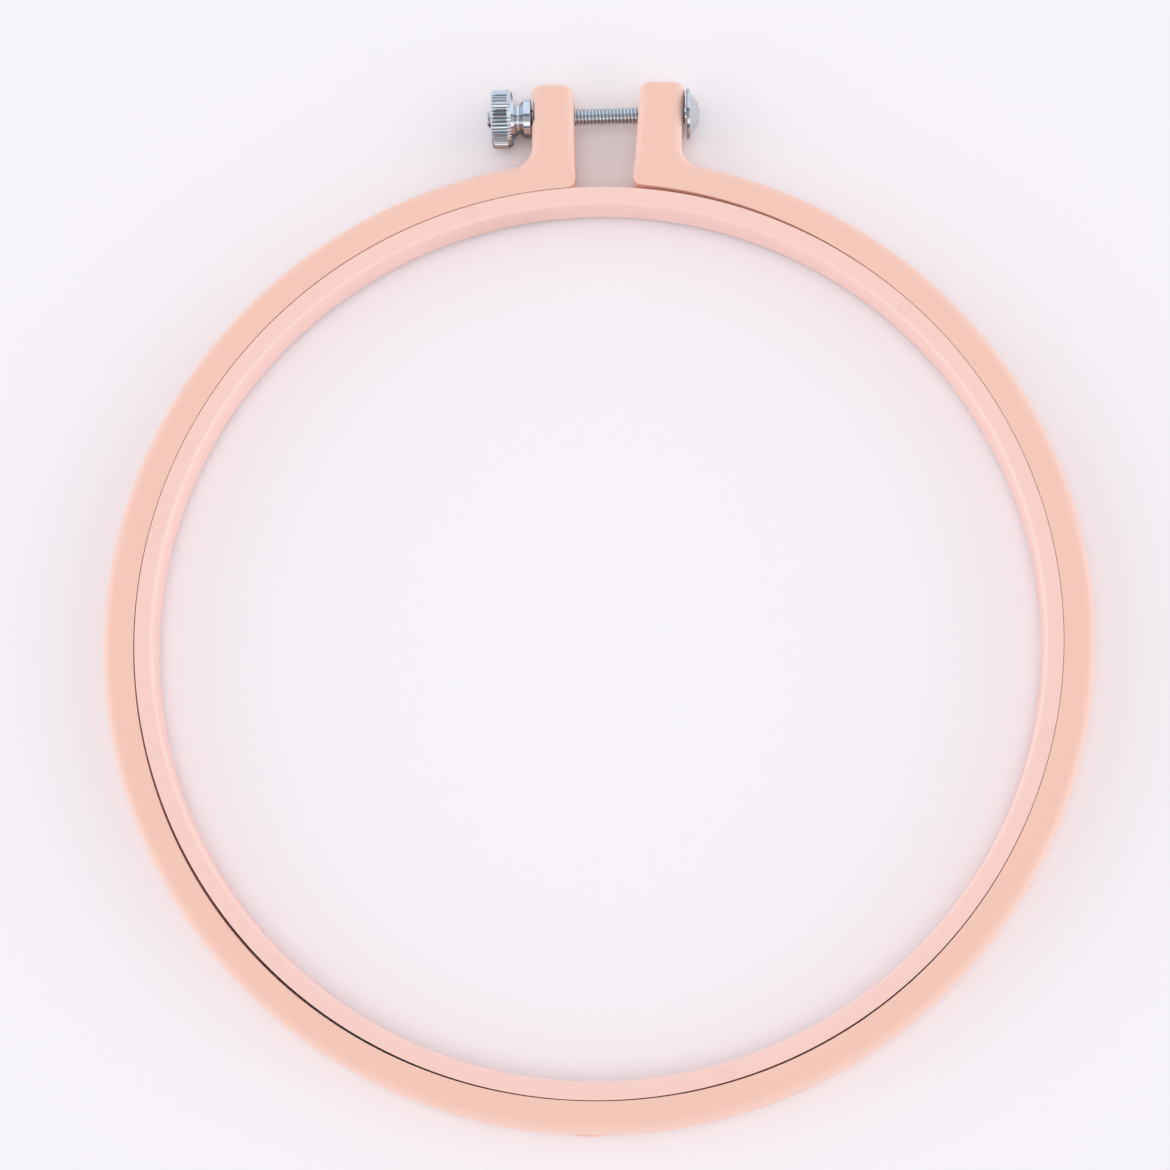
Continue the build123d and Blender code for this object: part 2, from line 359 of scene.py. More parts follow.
def half_outline(s, width):
    """Right-hand half of the ring in plan, from below the middle round its lug and back.

    Arcs and straight runs joined tangentially. Gives points, normals into the plastic, and
    how far each edge is a soft rim (1) or a crisp seam (0).
    """
    bore = s.inner_diameter / 2 + s.seam_gap
    outer = bore + s.outer_wall
    line, tip = outer + s.screw_reach, outer + s.lug_reach
    gap_point, gap_way = side_line(s.lug_gap / 2, s.gap_lean, line)
    back_point, back_way = side_line(s.lug_gap / 2 + width, s.back_lean, line)
    back_out = np.array([back_way[1], -back_way[0]])
    gap_in = np.array([gap_way[1], -gap_way[0]])

    root = on_line_at_radius(back_point + back_out * s.lug_root, back_way, outer + s.lug_root)
    heel = on_line_at_radius(gap_point + gap_in * s.lug_heel, gap_way, bore + s.lug_heel)
    root_azimuth, heel_azimuth = atan2(root[1], root[0]), atan2(heel[1], heel[0])
    back_azimuth = atan2(-back_out[1], -back_out[0]) % (2 * pi)

    back_tip = on_line_at_height(back_point, back_way, tip)
    gap_tip = on_line_at_height(gap_point, gap_way, tip)
    below = back_tip - back_way * s.lug_reach
    inner = gap_tip - gap_way * s.lug_reach
    outer_corner, outer_centre = round_corner(below, back_tip, gap_tip, s.lug_corner, 15)
    inner_corner, inner_centre = round_corner(back_tip, gap_tip, inner, s.lug_corner, 15)
    heel_start = atan2(-gap_in[1], -gap_in[0]) % (2 * pi)

    def corner_run(points, centre):
        """A tip's corner with its normals, which point at its centre."""
        return points[:-1], (centre - points[:-1]) / s.lug_corner

    # Each run: its points and normals, then its softness at its start and at its end
    runs = [
        (arc((0, 0), outer, -pi / 2, root_azimuth, 340, 1), 1.0, 1.0),
        (arc(root, s.lug_root, root_azimuth + pi, back_azimuth, 24, -1), 1.0, 1.0),
        (straight(root - back_out * s.lug_root, outer_corner[0], 16), 1.0, 1.0),
        (corner_run(outer_corner, outer_centre), 1.0, 1.0),
        (straight(outer_corner[-1], inner_corner[0], 8), 1.0, 1.0),
        (corner_run(inner_corner, inner_centre), 1.0, 1.0),
        (straight(inner_corner[-1], heel - gap_in * s.lug_heel, 48), 1.0, 0.0),
        (arc(heel, s.lug_heel, heel_start, heel_azimuth + pi, 16, 1), 0.0, 0.0),
        (arc((0, 0), bore, heel_azimuth, -pi / 2, 340, -1), 0.0, 0.0),
    ]
    points = np.concatenate([run[0] for run, _, _ in runs])
    normals = np.concatenate([run[1] for run, _, _ in runs])
    softness = np.concatenate([fade(len(run[0]), start, end) for run, start, end in runs])
    return points, normals, softness


def fade(count, start, end):
    """Values from start to end: level at first, then an S curve over the last quarter."""
    t = np.clip((np.arange(count) / count - 0.75) / 0.25, 0, 1)
    return start + (end - start) * t * t * (3 - 2 * t)


def sprung(points, normals, s):
    """Right-hand end of the loosened ring, bent outwards onto a larger circle.

    Each point turns and moves with the ring's middle line at its own azimuth, from where the
    end leaves the round up to the lug, which moves as one.
    """
    middle = s.inner_diameter / 2 + s.seam_gap + s.outer_wall / 2
    lug = acos((s.lug_gap + s.head_lug_width) / 2 / middle)
    growth = s.spring_rise / (1 - cos(lug - s.spring_start))
    ratio = middle / (middle + growth)
    azimuth = np.clip(np.arctan2(points[:, 1], points[:, 0]), s.spring_start, lug)
    azimuth = np.where(points[:, 0] < 0, s.spring_start, azimuth)
    moved = s.spring_start + (azimuth - s.spring_start) * ratio
    turn = moved - azimuth
    foot = middle * np.stack([np.cos(azimuth), np.sin(azimuth)], axis=-1)
    centre = -growth * towards(s.spring_start)
    new_foot = centre + (middle + growth) * np.stack([np.cos(moved), np.sin(moved)], axis=-1)

    def turned(way):
        """The same directions, each turned by its own angle."""
        x, y = way[:, 0], way[:, 1]
        across = x * np.cos(turn) - y * np.sin(turn)
        return np.stack([across, x * np.sin(turn) + y * np.cos(turn)], axis=-1)

    return new_foot + turned(points - foot), turned(normals)


def ring_section(s, softness):
    """Inset and height of the wall's profile at each point of the outline.

    From the underside up: a bevel crowned as a superellipse of power 4/3, a wall with the fine
    ridge of the mould's parting line at half height, and a rim rounded to a quarter ellipse,
    wider than deep. Each row is one step up.
    """
    half, level = s.ring_height / 2, np.zeros_like(softness)
    wide = s.rim_spread * s.rim * softness + s.seam_edge * (1 - softness)
    deep = s.rim_drop * s.rim * softness + s.seam_edge * (1 - softness)
    foot = s.rim_bevel * softness + s.seam_edge * (1 - softness)
    ridge = s.parting_ridge * softness
    crown = 2 / (4 / 3)
    ridge_half = 0.12 * half
    rows = [(foot + s.level_lip, level - half)]
    for t in np.linspace(pi / 2, 0, 6):
        rows.append((foot * (1 - cos(t) ** crown) + ridge, foot * (1 - sin(t) ** crown) - half))
    for step in (-1, -1 / 3, 0, 1 / 3, 1):
        rows.append((ridge * abs(step), level + step * ridge_half))
    for t in np.linspace(0, pi / 2, 11):
        rows.append((wide * (1 - cos(t)) + ridge, half - deep * (1 - sin(t))))
    rows.append((wide + ridge + s.level_lip, level + half))
    inset, height = (np.array([row[i] for row in rows]) for i in (0, 1))
    return inset, height


# Where the seam opens or closes: azimuth and width in degrees, opening in millimetres
SEAM_BELLS = ((72, 11, 0.1), (122, 26, 0.1), (222, 34, 0.5), (270, 9, -0.07), (298, 24, 0.27))


def seam_closing(azimuth, s):
    """How far the bore comes in to lie against the inner ring, by azimuth.

    The seam is a hairline that opens in smooth bells e^-(t / w)^2 where the rings part, and
    closes in one at the moulding gate.
    """
    degrees_round = np.degrees(azimuth) % 360
    gap = s.hairline
    for middle, width, opening in SEAM_BELLS:
        gap = gap + opening * MM * np.exp(-(((degrees_round - middle) / width) ** 2))
    return s.seam_gap + s.seam_shift * np.cos(azimuth - radians(225)) - gap


def outer_ring_grid(s):
    """Closed outline of the split ring, inset row by row along its normals.

    It starts at the tip of the right-hand lug, so that its two sides lie across from each other.
    """
    points, normals, right_softness = half_outline(s, s.head_lug_width)
    right, right_normals = sprung(points, normals, s)
    points, normals, left_softness = half_outline(s, s.nut_lug_width)
    flip = np.array([-1.0, 1.0])
    left, left_normals = (points * flip)[::-1], (normals * flip)[::-1]
    points = np.concatenate([right, left])
    normals = np.concatenate([right_normals, left_normals])
    softness = np.concatenate([right_softness, left_softness[::-1]])
    bore = s.inner_diameter / 2 + s.seam_gap
    # The wall by the bore closes on the inner ring, less and less towards the lugs' sides
    reach, fading = 1.8 * MM, 1 * MM
    near_bore = np.clip((bore + reach - np.linalg.norm(points, axis=1)) / fading, 0, 1)
    closing = seam_closing(np.arctan2(points[:, 1], points[:, 0]), s)
    points = points - normals * (near_bore * closing)[:, None]
    inset, height = ring_section(s, softness)
    plan = points[None] + normals[None] * inset[..., None]
    plan = plan + s.seam_shift * towards(radians(225))
    grid = np.concatenate([plan, height[..., None]], axis=-1)
    return np.roll(grid, -len(right) // 2, axis=1)


def gate_stub_grid(s):
    """Broken stub of the moulding gate: a squared-off superellipse whose face is torn.

    x = a sgn(cos) |cos|^0.3, z likewise with sin, shrinking to the middle of the torn face,
    where waves |sin x cos z| roughen it.
    """
    outer = s.inner_diameter / 2 + s.seam_gap + s.outer_wall
    turn = np.arange(64) * 2 * pi / 64
    squared = 0.3
    x = np.sign(np.cos(turn)) * np.abs(np.cos(turn)) ** squared
    z = np.sign(np.sin(turn)) * np.abs(np.sin(turn)) ** squared
    # Outline by outline, from inside the ring to the middle of the face: depth and size
    depth = np.array([1.2, 0.0, -0.22, -0.32, -0.36, -0.38, -0.38])[:, None] * MM
    size = np.array([1.0, 1.0, 0.97, 0.9, 0.75, 0.45, 0.12])[:, None]
    grid = np.empty((len(size), len(turn), 3))
    grid[..., 0] = size * x * s.gate_width / 2
    grid[..., 2] = size * z * s.gate_height / 2
    tear_height, tear_x, tear_z = 0.05 * MM, 5200, 6100  # the last two in radians a metre
    torn = tear_height * np.sin(grid[..., 0] * tear_x) * np.cos(grid[..., 2] * tear_z + 1.0)
    on_face = size < 0.95
    grid[..., 1] = depth - outer + np.abs(torn) * on_face
    shift = s.seam_shift * towards(radians(225))
    grid[..., 0] += shift[0]
    grid[..., 1] += shift[1]
    return grid


# Inner ring


def inner_ring_profile(s):
    """Section of the inner ring, its four corners rounded."""
    outer = s.inner_diameter / 2
    bore = outer - s.inner_wall
    half = s.ring_height / 2
    corners = [
        (bore, -half, s.bore_edge),
        (outer, -half, s.seam_edge),
        (outer, half, s.seam_edge),
        (bore, half, s.bore_edge),
    ]
    return rounded_run(corners, 9)


def mark_grid(s, number):
    """A low drum that presses one of the six ejector marks into the level top face."""
    azimuth = s.mark_azimuth + number * pi / 3
    outer, edge = s.inner_diameter / 2, 0.7 * MM
    middle = (2 * outer - s.inner_wall + edge - s.seam_edge) / 2
    top, radius = s.ring_height / 2, s.mark_diameter / 2
    bottom, hub, above = top - s.mark_depth, 0.35 * radius, top + 1 * MM
    profile = np.array([[hub, bottom], [radius, bottom], [radius, above]])
    grid = lathe(profile, 48)
    grid[..., :2] += middle * towards(azimuth)
    return grid


# Clamp screw


def screw_head_place(s, h):
    """Distance from the left-hand lug's middle to the underside of the head, along the screw."""
    height = s.inner_diameter / 2 + s.seam_gap + s.outer_wall + s.screw_reach
    middle = np.array([[(s.lug_gap + s.head_lug_width) / 2, height]])
    right_hole = sprung(middle, np.zeros_like(middle), s)[0][0] + s.seam_shift * towards(radians(225))
    return np.linalg.norm(right_hole - LEFT_HOLE[:2]) + s.head_lug_width / 2 + h.head_gap


def screw_grid(h):
    """Threaded shank: the radius is a ridge wave of height and turn.

    With p the pitch and w the distance of z / p - t / 2 pi from the nearest whole number, the
    radius falls from the crest to the root as w grows from 1/8 to 7/16, and the tip's
    chamfer and a run-out under the head limit the wave. Gives the grid and its crests.
    """
    top = h.flange_thickness / 2
    columns, rows_per_pitch = 48, 12
    rows = int((h.screw_length + top) / h.pitch * rows_per_pitch)
    z = np.linspace(-h.screw_length, top, rows)[:, None]
    turn = np.arange(columns)[None] * 2 * pi / columns
    wave = z / h.pitch - turn / (2 * pi)
    wave = np.abs(wave - np.round(wave))
    crest_end, root_start = 1 / 8, 7 / 16
    fall = np.clip((wave - crest_end) / (root_start - crest_end), 0, 1)
    depth = h.thread_depth * h.pitch * np.clip((-z - h.run_out) / h.pitch, 0, 1)
    crest = h.screw_diameter / 2
    chamfer = crest - h.tip_chamfer + (z + h.screw_length)
    radius = np.minimum(crest - depth * fall, chamfer)
    height = np.broadcast_to(z, radius.shape)
    return np.stack([radius * np.cos(turn), radius * np.sin(turn), height], axis=-1), 1 - fall


def head_profile(h):
    """Profile of the flanged head, from the middle of its crown to its underside.

    The crown is a parabola, z = top - rise (r / crown)^2. Gives the profile and its crests:
    the underside, which faces the lug, counts as a groove and so takes the painted shade.
    """
    crown, rise = h.crown_diameter / 2, h.head_height - h.shoulder_height
    middle, edge_start = 0.04, 0.93
    bow = np.linspace(middle, edge_start, 8) * crown
    crown_points = np.stack([bow, h.head_height - rise * (bow / crown) ** 2], axis=-1)
    # Radius, height and rounding
    edge = rounded_run(
        [
            (bow[-1], crown_points[-1, 1], 0),
            (crown, h.shoulder_height, 0.12 * MM),
            (h.dome_diameter / 2, h.flange_thickness, 0.25 * MM),
            (h.flange_diameter / 2, h.flange_thickness, 0.16 * MM),
            (h.flange_diameter / 2, 0, 0.16 * MM),
            (h.screw_diameter / 4, 0, 0),
        ],
        6,
    )
    profile = np.concatenate([crown_points[:-1], edge])
    return profile, np.clip(profile[:, 1:2] / h.flange_thickness * 2, 0, 1)


def recess_grid(h):
    """Tapering cross that cuts the driver's recess: a twelve-cornered plan at four levels."""
    top, span, deep = h.head_height, h.recess_span / 2, h.recess_depth
    # Height, reach of the arms and half their width
    levels = [
        (top + 1 * MM, span, 0.55 * MM),
        (top, span, 0.53 * MM),
        (top - 0.55 * deep, 0.62 * span, 0.45 * MM),
        (top - deep, 0.4 * span, 0.36 * MM),
    ]
    turns = [np.array([[cos(a), -sin(a)], [sin(a), cos(a)]]) for a in np.arange(4) * pi / 2]
    grid = []
    for height, reach, half in levels:
        arm = np.array([[reach, -half], [reach, half], [half, half]])
        plan = np.concatenate([arm @ turn.T for turn in turns])
        grid.append(np.column_stack([plan, np.full(len(plan), height)]))
    return np.array(grid)


# Thumb nut


def nut_grid(h):
    """Turned and knurled nut: one closed profile round the thread's bore, swept round the axis.

    On the wheel the radius is the smaller of the turned profile and the knurl. With t the
    distance from the middle of a tooth in teeth, from 0 to 1/2, and l the share of the land,
    the vee's depth grows as (t - l / 2) / (1/2 - l / 2). Gives the grid and its crests.
    """
    wheel, end, back = h.wheel_diameter / 2, -h.nut_length, h.wheel_length - h.nut_length
    bore, mouth, chamfer = h.screw_diameter / 2 + h.nut_clearance, h.nut_mouth, h.wheel_chamfer
    nose, collar, waist = h.nose_diameter / 2, h.collar_diameter / 2, h.waist_diameter / 2
    collar_end = back + h.collar_length
    middle, half_waist = (collar_end - h.nose_length) / 2, h.waist_length / 2
    # Radius, height and rounding, from the bore round the wheel to the nose
    front = rounded_run(
        [
            (bore, -mouth, 0),
            (bore, end + mouth, 0),
            (bore + mouth, end, 0.06 * MM),
            (wheel - chamfer, end, 0.1 * MM),
            (wheel, end + chamfer, 0.15 * MM),
        ],
        4,
    )
    band = np.column_stack([np.full(6, wheel), np.linspace(end + 0.7 * MM, back - 0.75 * MM, 6)])
    neck = rounded_run(
        [
            (wheel, back - h.shoulder_length, 0.2 * MM),
            (wheel - h.shoulder_width, back, 0.08 * MM),
            (collar, back, 0.1 * MM),
            (collar, collar_end, 0.15 * MM),
            (waist, middle - half_waist, h.waist_rounding),
            (waist, middle + half_waist, h.waist_rounding),
            (nose, -h.nose_length, 0.12 * MM),
            (nose, 0, 0.16 * MM),
            (bore + mouth, 0, 0.06 * MM),
        ],
        5,
    )
    profile = np.concatenate([front, band, neck])
    steps = 10  # points across a tooth
    grid = lathe(profile, h.knurl_count * steps)
    tooth = (np.arange(h.knurl_count * steps) % steps) / steps
    away, land = np.minimum(tooth, 1 - tooth), h.knurl_land / 2
    groove = h.knurl_depth * np.clip((away - land) / (0.5 - land), 0, 1)
    radius = np.linalg.norm(grid[..., :2], axis=-1)
    on_wheel = (profile[:, 1:2] < back - TOUCHING) & (profile[:, 0:1] > bore + 1 * MM)
    knurled = np.where(on_wheel, np.minimum(radius, wheel - groove), radius)
    grid[..., :2] *= (knurled / radius)[..., None]
    return grid, 1 - (radius - knurled) / h.knurl_depth


# Materials


def add_node(tree, kind, settings=None, **links):
    """A node of a kind, with its settings by name and its inputs linked or set.

    An underscore in an input's name stands for a space; i and a number pick an input by place.
    """
    node = tree.nodes.new(kind)
    for name, value in (settings or {}).items():
        setattr(node, name, value)
    for name, value in links.items():
        socket = node.inputs[int(name[1:]) if name[1:].isdigit() else name.replace("_", " ")]
        if isinstance(value, bpy.types.NodeSocket):
            tree.links.new(value, socket)
        else:
            socket.default_value = value
    return node


def new_material(name):
    """An empty node material and its node tree."""
    material = bpy.data.materials.new(name)
    material.use_nodes = True
    material.node_tree.nodes.clear()
    return material, material.node_tree


def moulded_plastic(name, tint, edge):
    """Injection-moulded polypropylene: satin, slightly cloudy, with faint flow mottling.

    The eye gets a soft broad sheen from the fine sparked mould texture, colour that drifts a
    little over centimetres where the melt flowed, and a painted highlight: edges painted
    lighter, standing in for the sheen and the light through the plastic at the rims.
    """
    material, tree = new_material(name)
    place = add_node(tree, "ShaderNodeTexCoord").outputs["Object"]
    flow_size, sink_size, grain_size = 35.7 * MM, 11.1 * MM, 0.385 * MM
    mottling = 0.015  # share by which the flow marks change the colour
    flow = add_node(
        tree, "ShaderNodeTexNoise", Vector=place, Scale=1 / flow_size, Detail=3.0, Roughness=0.55
    )
    grain = add_node(
        tree, "ShaderNodeTexNoise", Vector=place, Scale=1 / grain_size, Detail=2.0, Roughness=0.6
    )
    sink = add_node(tree, "ShaderNodeTexNoise", Vector=place, Scale=1 / sink_size, Detail=1.0)
    mix = add_node(
        tree,
        "ShaderNodeMix",
        {"data_type": "RGBA"},
        Factor=flow.outputs["Fac"],
        i6=(*((1 - mottling) * Vector(tint)), 1.0),
        i7=(*((1 + mottling) * Vector(tint)), 1.0),
    )
    # Painted highlight: the edges, where the surface faces half up, are painted lighter: 1.5 (z - z^2)
    # of the normal's z
    facing = add_node(tree, "ShaderNodeNewGeometry").outputs["Normal"]
    upwards = add_node(tree, "ShaderNodeSeparateXYZ", Vector=facing).outputs["Z"]
    square = add_node(tree, "ShaderNodeMath", {"operation": "MULTIPLY"}, i0=upwards, i1=upwards)
    slope = add_node(tree, "ShaderNodeMath", {"operation": "SUBTRACT"}, i0=upwards, i1=square.outputs[0])
    clamped = {"operation": "MULTIPLY", "use_clamp": True}
    edges = add_node(tree, "ShaderNodeMath", clamped, i0=slope.outputs[0], i1=1.5)
    painted_rim_highlight = add_node(
        tree,
        "ShaderNodeMix",
        {"data_type": "RGBA"},
        Factor=edges.outputs[0],
        i6=mix.outputs["Result"],
        i7=(*edge, 1.0),
    )
    rough = add_node(tree, "ShaderNodeMapRange", Value=grain.outputs["Fac"], To_Min=0.36, To_Max=0.5)
    wave = add_node(
        tree, "ShaderNodeBump", Height=sink.outputs["Fac"], Strength=0.05, Distance=0.4 * MM
    )
    fine = add_node(
        tree,
        "ShaderNodeBump",
        Height=grain.outputs["Fac"],
        Strength=0.05,
        Distance=0.06 * MM,
        Normal=wave.outputs["Normal"],
    )
    shader = add_node(
        tree,
        "ShaderNodeBsdfPrincipled",
        Base_Color=painted_rim_highlight.outputs["Result"],
        Roughness=rough.outputs["Result"],
        IOR=1.49,
        Sheen_Weight=0.7,
        Sheen_Roughness=0.35,
        Sheen_Tint=(*tint, 1.0),
        Normal=fine.outputs["Normal"],
    )
    add_node(tree, "ShaderNodeOutputMaterial", Surface=shader.outputs["BSDF"])
    return material


def plated_metal(name, tint, roughness, ring_size, groove):
    """Bright nickel or zinc plate over turned or rolled steel: a mirror with faint rings.

    The eye gets hard bright and dark bands from the room, broken a little by the rings that
    the tool left round the axis, a size apart, and by a thin haze. Painted shade darkens the
    grooves, where the crest attribute is 0, to a share of the tint.
    """
    material, tree = new_material(name)
    # Painted shade: the grooves take a darker share of the tint, by the crest attribute
    crest = add_node(tree, "ShaderNodeAttribute", {"attribute_name": "crest"}).outputs["Fac"]
    painted_groove_shade = add_node(
        tree,
        "ShaderNodeMix",
        {"data_type": "RGBA"},
        Factor=crest,
        i6=(*(groove * Vector(tint)), 1.0),
        i7=(*tint, 1.0),
    )
    place = add_node(tree, "ShaderNodeTexCoord").outputs["Object"]
    haze_size, stretched = 1.43 * MM, 50  # the rings' length round the axis against their size
    along, around = 1 / ring_size, 1 / (stretched * ring_size)
    ring = add_node(tree, "ShaderNodeMapping", Vector=place, Scale=(along, around, around))
    lines = add_node(tree, "ShaderNodeTexNoise", Vector=ring.outputs["Vector"], Scale=1.0, Detail=3.0)
    haze = add_node(tree, "ShaderNodeTexNoise", Vector=place, Scale=1 / haze_size, Detail=3.0)
    rough = add_node(
        tree,
        "ShaderNodeMapRange",
        Value=haze.outputs["Fac"],
        To_Min=roughness * 0.7,
        To_Max=roughness * 1.4,
    )
    bump = add_node(
        tree, "ShaderNodeBump", Height=lines.outputs["Fac"], Strength=0.08, Distance=0.03 * MM
    )
    shader = add_node(
        tree,
        "ShaderNodeBsdfPrincipled",
        Base_Color=painted_groove_shade.outputs["Result"],
        Metallic=1.0,
        Roughness=rough.outputs["Result"],
        Normal=bump.outputs["Normal"],
    )
    add_node(tree, "ShaderNodeOutputMaterial", Surface=shader.outputs["BSDF"])
    return material


def ground_paper(tint, shade, place):
    """Smooth white paper with a lavender cast: matt, no pattern that shows at this distance.

    Plating sees it grey near a place: painted shade in the plating's reflections, which darkens the low
    side of the nut.
    """
    material, tree = new_material("ground_paper")
    spot = add_node(tree, "ShaderNodeTexCoord").outputs["Object"]
    # Painted shade: glossy rays see the paper grey within 12 to 24 mm of the place
    away = add_node(tree, "ShaderNodeVectorMath", {"operation": "DISTANCE"}, i0=spot, i1=place)
    near = add_node(
        tree,
        "ShaderNodeMapRange",
        Value=away.outputs["Value"],
        From_Min=12 * MM,
        From_Max=24 * MM,
        To_Min=1.0,
        To_Max=0.0,
    ).outputs["Result"]
    glossy = add_node(tree, "ShaderNodeLightPath").outputs["Is Glossy Ray"]
    painted_shade_mask = add_node(tree, "ShaderNodeMath", {"operation": "MULTIPLY"}, i0=near, i1=glossy)
    mix = add_node(
        tree,
        "ShaderNodeMix",
        {"data_type": "RGBA"},
        Factor=painted_shade_mask.outputs[0],
        i6=(*tint, 1.0),
        i7=(*shade, 1.0),
    )
    shader = add_node(tree, "ShaderNodeBsdfDiffuse", Color=mix.outputs["Result"])
    add_node(tree, "ShaderNodeOutputMaterial", Surface=shader.outputs["BSDF"])
    return material


# Operators


class HOOP_OT_outer_ring(bpy.types.Operator):
    """Split outer ring with its two clamp lugs and the stub of the moulding gate"""

    bl_idname = "hoop.outer_ring"
    bl_label = "Outer ring"

    def execute(self, context):
        s, h = context.scene.hoop_sizes, context.scene.hardware_sizes
        tints = context.scene.hoop_colours
        plastic = moulded_plastic("moulded_polypropylene_salmon", tints.outer, tints.edge)
        ring = new_piece(context, "outer_ring_body", outer_ring_grid(s), "folded")
        radius = h.screw_diameter / 2 + h.hole_clearance
        drill = lathe(np.array([[radius, -h.screw_length], [radius, h.screw_length]]), 64)
        seat_radius = s.seat_diameter / 2
        seat = lathe(np.array([[seat_radius, -s.seat_depth], [seat_radius, s.seat_depth]]), 96)
        for tool, distance in ((drill, 0.0), (seat, -s.nut_lug_width / 2)):
            cut_out(context, ring, new_piece(context, "drill", place_on_screw(tool, distance), "flat"))
        finish_piece(ring, plastic, radians(32), "outer_ring", "outer_ring")
        stub = new_piece(context, "gate_stub", gate_stub_grid(s), "flat")
        finish_piece(stub, plastic, radians(32), "outer_ring")
        return {"FINISHED"}


class HOOP_OT_inner_ring(bpy.types.Operator):
    """Plain inner ring with the marks of the ejector pins"""

    bl_idname = "hoop.inner_ring"
    bl_label = "Inner ring"

    def execute(self, context):
        s, tints = context.scene.hoop_sizes, context.scene.hoop_colours
        plastic = moulded_plastic("moulded_polypropylene_rose", tints.inner, tints.edge)
        ring = new_piece(context, "inner_ring_body", lathe(inner_ring_profile(s), 720), "closed")
        for number in range(6):
            cut_out(context, ring, new_piece(context, "pin", mark_grid(s, number), "flat"))
        finish_piece(ring, plastic, radians(32), "inner_ring", "inner_ring")
        return {"FINISHED"}


class HOOP_OT_clamp_screw(bpy.types.Operator):
    """Clamp screw: a threaded shank under a flanged cross-recess head"""

    bl_idname = "hoop.clamp_screw"
    bl_label = "Clamp screw"

    def execute(self, context):
        s, h = context.scene.hoop_sizes, context.scene.hardware_sizes
        tint = context.scene.hoop_colours.metal
        distance = screw_head_place(s, h)
        # The last number of each is the share of the tint left in the painted shade of the grooves
        thread = plated_metal("bright_zinc_rolled_thread", tint, 0.16, 0.333 * MM, 0.75)
        plate = plated_metal("bright_nickel_pressed_head", tint, 0.12, 0.5 * MM, 0.3)
        grid, crest = screw_grid(h)
        shank = new_piece(context, "screw_thread", place_on_screw(grid, distance), "flat", crest)
        finish_piece(shank, thread, radians(40), "clamp_screw", "clamp_screw")
        profile, crest = head_profile(h)
        grid = place_on_screw(lathe(profile, 96), distance)
        head = new_piece(context, "screw_head", grid, "flat", np.broadcast_to(crest, grid.shape[:2]))
        cross = new_piece(context, "punch", place_on_screw(recess_grid(h), distance), "flat")
        cut_out(context, head, cross)
        finish_piece(head, plate, radians(25), "clamp_screw", "clamp_screw")
        return {"FINISHED"}


class HOOP_OT_thumb_nut(bpy.types.Operator):
    """Thumb nut: a straight-knurled wheel with a waisted neck"""

    bl_idname = "hoop.thumb_nut"
    bl_label = "Thumb nut"

    def execute(self, context):
        s, h = context.scene.hoop_sizes, context.scene.hardware_sizes
        tint = context.scene.hoop_colours.metal
        distance = -s.nut_lug_width / 2 - h.nut_gap
        # The last number is the share of the tint left in the painted shade of the grooves
        plate = plated_metal("bright_nickel_turned_knurl", tint, 0.12, 0.25 * MM, 0.6)
        grid, crest = nut_grid(h)
        nut = new_piece(context, "thumb_nut_body", place_on_screw(grid, distance), "closed", crest)
        finish_piece(nut, plate, radians(24), "thumb_nut", "thumb_nut")
        return {"FINISHED"}


class HOOP_OT_stage(bpy.types.Operator):
    """Paper ground, soft light and the camera"""

    bl_idname = "hoop.stage"
    bl_label = "Stage"

    def execute(self, context):
        scene = context.scene
        lay_ground(context)
        light_scene(context)
        focal_length, picture_width = 3000, 1170  # both in the photograph's pixels
        lens = bpy.data.cameras.new("camera")
        lens.sensor_width = 36.0
        lens.lens = lens.sensor_width * focal_length / picture_width
        lens.clip_end = 20.0
        camera = bpy.data.objects.new("camera", lens)
        place = Vector((27.896, -124.155, 637.56)) * MM
        heading, tilt, roll = radians(0.468), 0.208777, 0.0453106
        turn = (
            Matrix.Rotation(heading, 4, "Z")
            @ Matrix.Rotation(tilt, 4, "X")
            @ Matrix.Rotation(roll, 4, "Y")
        )
        camera.matrix_world = Matrix.Translation(place) @ turn
        scene.collection.objects.link(camera)
        scene.camera = camera
        scene.view_settings.view_transform = "Standard"
        return {"FINISHED"}


def lay_ground(context):
    """Wide flat ground that touches the far underside of the ring and the nut's lowest line."""
    low_ring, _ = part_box("inner_ring")
    low_nut, high_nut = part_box("thumb_nut")
    nut_y = (low_nut.y + high_nut.y) / 2
    slope = (low_nut.z - low_ring.z) / (nut_y - low_ring.y)
    reach, clear = 6.0, 0.05 * MM
    corners = [(-reach, -reach), (reach, -reach), (reach, reach), (-reach, reach)]
    points = [(x, y, low_ring.z + (y - low_ring.y) * slope - clear) for x, y in corners]
    mesh = bpy.data.meshes.new("ground")
    mesh.from_pydata(points, [], [(0, 1, 2, 3)])
    ground = bpy.data.objects.new("ground", mesh)
    context.scene.collection.objects.link(ground)
    tints = context.scene.hoop_colours
    # Middle of the painted shade that the plating sees on the paper
    below_nut = (low_nut.x, nut_y - 2 * high_nut.z, low_nut.z)
    mesh.materials.append(ground_paper(tints.ground, tints.shade, below_nut))


